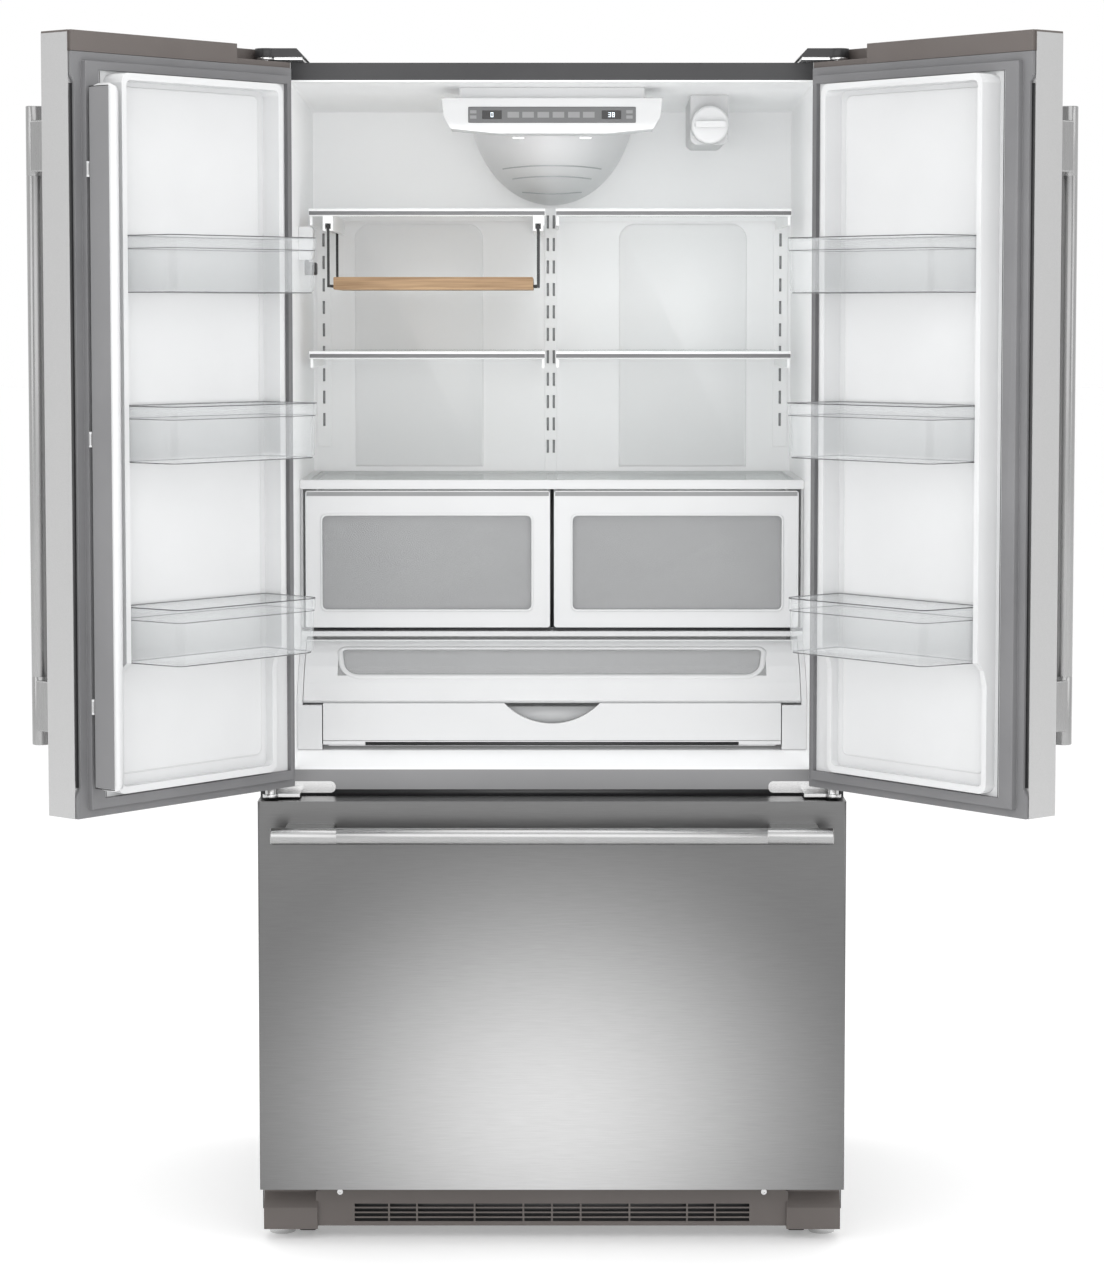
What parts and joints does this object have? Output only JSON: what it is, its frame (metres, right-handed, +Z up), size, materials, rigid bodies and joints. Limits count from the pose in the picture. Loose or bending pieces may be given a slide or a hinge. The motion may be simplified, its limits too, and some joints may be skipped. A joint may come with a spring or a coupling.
{
  "type": "french door refrigerator",
  "caption": "Bottom-freezer refrigerator with paired upper doors standing open, shelves, crispers, door bins and a pull-out freezer drawer.",
  "frame": {"origin": "on the floor under the middle of the case", "axes": "+X to the right seen from the front, +Y from the doors to the back, +Z up"},
  "size_m": [1.5152, 1.1004, 1.84],
  "materials": {
    "black_plastic": "matte",
    "clear_plastic": "gloss",
    "coil_metal": "satin",
    "copper_black": "satin",
    "foam_fill": "matte",
    "frosted": "frosted",
    "galvanised": "satin",
    "gasket_grey": "matte",
    "graphite_paint": "satin",
    "grey_rail": "satin",
    "handle_satin": "satin",
    "lid_grey": "satin",
    "oak": "satin",
    "plated": "satin",
    "shelf_glass": "gloss",
    "stainless": "brushed",
    "trim_brown_grey": "matte",
    "white_liner": "satin",
    "white_wire": "satin"
  },
  "bodies": {
    "cabinet": {"cabinet_shell": "graphite_paint", "rear_panels": "galvanised", "cabinet_foam": "foam_fill", "fresh_food_liner": "white_liner", "freezer_liner": "white_liner", "centre_rail": "grey_rail", "base_frame": "galvanised", "toe_grille": "trim_brown_grey", "hinges": "plated", "hinge_covers": "black_plastic", "fasteners": "plated", "shelf_ladders": "white_wire", "shelf_frames": "white_liner", "shelf_glass": "shelf_glass", "drawer_surround": "white_liner", "control_housing": "white_liner", "light_cover": "frosted", "dispenser_housing": "white_liner", "drawer_slides": "galvanised", "compressor": "copper_black", "condenser_coil": "copper_black", "evaporator_coil": "coil_metal", "fan_housings": "white_liner", "rear_connections": "black_plastic"},
    "left_door": {"left_door_skin": "stainless", "left_door_caps": "trim_brown_grey", "left_door_gasket": "gasket_grey", "left_door_liner": "white_liner", "left_door_bins": "clear_plastic", "left_door_handle": "handle_satin"},
    "right_door": {"right_door_skin": "stainless", "right_door_caps": "trim_brown_grey", "right_door_gasket": "gasket_grey", "right_door_liner": "white_liner", "right_door_bins": "clear_plastic", "right_door_handle": "handle_satin"},
    "mullion": {"mullion_flap": "grey_rail"},
    "left_crisper": {"left_crisper_front": "white_liner", "left_crisper_bin": "clear_plastic"},
    "right_crisper": {"right_crisper_front": "white_liner", "right_crisper_bin": "clear_plastic"},
    "pantry": {"pantry_drawer": "clear_plastic"},
    "pantry_cover": {"pantry_lid": "lid_grey", "pantry_lid_window": "clear_plastic"},
    "freezer_drawer": {"freezer_front_skin": "stainless", "freezer_front_liner": "white_liner", "freezer_gasket": "gasket_grey", "freezer_handle": "handle_satin", "freezer_basket": "white_liner"},
    "freezer_tray": {"freezer_top_basket": "clear_plastic"},
    "hanging_tray": {"wood_board": "oak", "tray_hangers": "black_plastic"},
    "left_foot": {"left_levelling_foot": "plated"},
    "right_foot": {"right_levelling_foot": "plated"},
    "front_roller_pair": {"front_rollers": "black_plastic"},
    "rear_roller_pair": {"rear_rollers": "black_plastic"},
    "evaporator_fan_wheel": {"evaporator_fan": "black_plastic"},
    "condenser_fan_wheel": {"condenser_fan": "black_plastic"},
    "water_filter": {"filter_cap": "white_liner"},
    "dispenser_paddle": {"dispenser_lever": "black_plastic"}
  },
  "joints": [
    {"name": "left_door_hinge", "type": "hinge", "parent": "cabinet", "child": "left_door", "pos_m": [-0.4327, -0.3746, 0], "axis": [0, 0, -1], "range_deg": [-130, 0]},
    {"name": "right_door_hinge", "type": "hinge", "parent": "cabinet", "child": "right_door", "pos_m": [0.4327, -0.3746, 0], "axis": [0, 0, 1], "range_deg": [-130, 0]},
    {"name": "mullion_hinge", "type": "hinge", "parent": "left_door", "child": "mullion", "pos_m": [-0.6551, -0.72242, 0], "axis": [0, 0, 1], "range_deg": [-90, 0]},
    {"name": "left_crisper_slide", "type": "slide", "parent": "cabinet", "child": "left_crisper", "axis": [0, -1, 0], "range_m": [0, 0.2]},
    {"name": "right_crisper_slide", "type": "slide", "parent": "cabinet", "child": "right_crisper", "axis": [0, -1, 0], "range_m": [0, 0.2]},
    {"name": "pantry_slide", "type": "slide", "parent": "cabinet", "child": "pantry", "axis": [0, -1, 0], "range_m": [0, 0.3]},
    {"name": "pantry_lid_hinge", "type": "hinge", "parent": "cabinet", "child": "pantry_cover", "pos_m": [0, -0.166, 0.918], "axis": [-1, 0, 0], "range_deg": [0, 36]},
    {"name": "freezer_slide", "type": "slide", "parent": "cabinet", "child": "freezer_drawer", "axis": [0, -1, 0], "range_m": [0, 0.43]},
    {"name": "freezer_tray_slide", "type": "slide", "parent": "freezer_drawer", "child": "freezer_tray", "axis": [0, 1, 0], "range_m": [0, 0.13]},
    {"name": "hanging_tray_slide", "type": "slide", "parent": "cabinet", "child": "hanging_tray", "axis": [0, -1, 0], "range_m": [0, 0.2]},
    {"name": "left_foot_screw", "type": "hinge", "parent": "cabinet", "child": "left_foot", "pos_m": [-0.424, -0.3, 0], "axis": [0, 0, 1], "range_deg": [-180, 180]},
    {"name": "right_foot_screw", "type": "hinge", "parent": "cabinet", "child": "right_foot", "pos_m": [0.424, -0.3, 0], "axis": [0, 0, 1], "range_deg": [-180, 180]},
    {"name": "front_roller_axle", "type": "hinge", "parent": "cabinet", "child": "front_roller_pair", "pos_m": [0, -0.3, 0.023], "axis": [1, 0, 0], "continuous": true},
    {"name": "rear_roller_axle", "type": "hinge", "parent": "cabinet", "child": "rear_roller_pair", "pos_m": [0, 0.285, 0.022], "axis": [1, 0, 0], "continuous": true},
    {"name": "evaporator_fan_spin", "type": "hinge", "parent": "cabinet", "child": "evaporator_fan_wheel", "pos_m": [0, 0.17, 0.588], "axis": [0, 1, 0], "continuous": true},
    {"name": "condenser_fan_spin", "type": "hinge", "parent": "cabinet", "child": "condenser_fan_wheel", "pos_m": [-0.11, 0.20975, 0.1645], "axis": [1, 0, 0], "continuous": true},
    {"name": "filter_turn", "type": "hinge", "parent": "cabinet", "child": "water_filter", "pos_m": [0.25, -0.163, 1.738], "axis": [0, 1, 0], "range_deg": [0, 90]},
    {"name": "dispenser_press", "type": "hinge", "parent": "cabinet", "child": "dispenser_paddle", "pos_m": [-0.3885, -0.16, 1.537], "axis": [0, 1, 0], "range_deg": [0, 8], "stiffness_Nm_per_rad": 0.1}
  ],
  "couplings": [
    {"joint": "mullion_hinge", "follows": "left_door_hinge", "ratio": 0.6923}
  ]
}
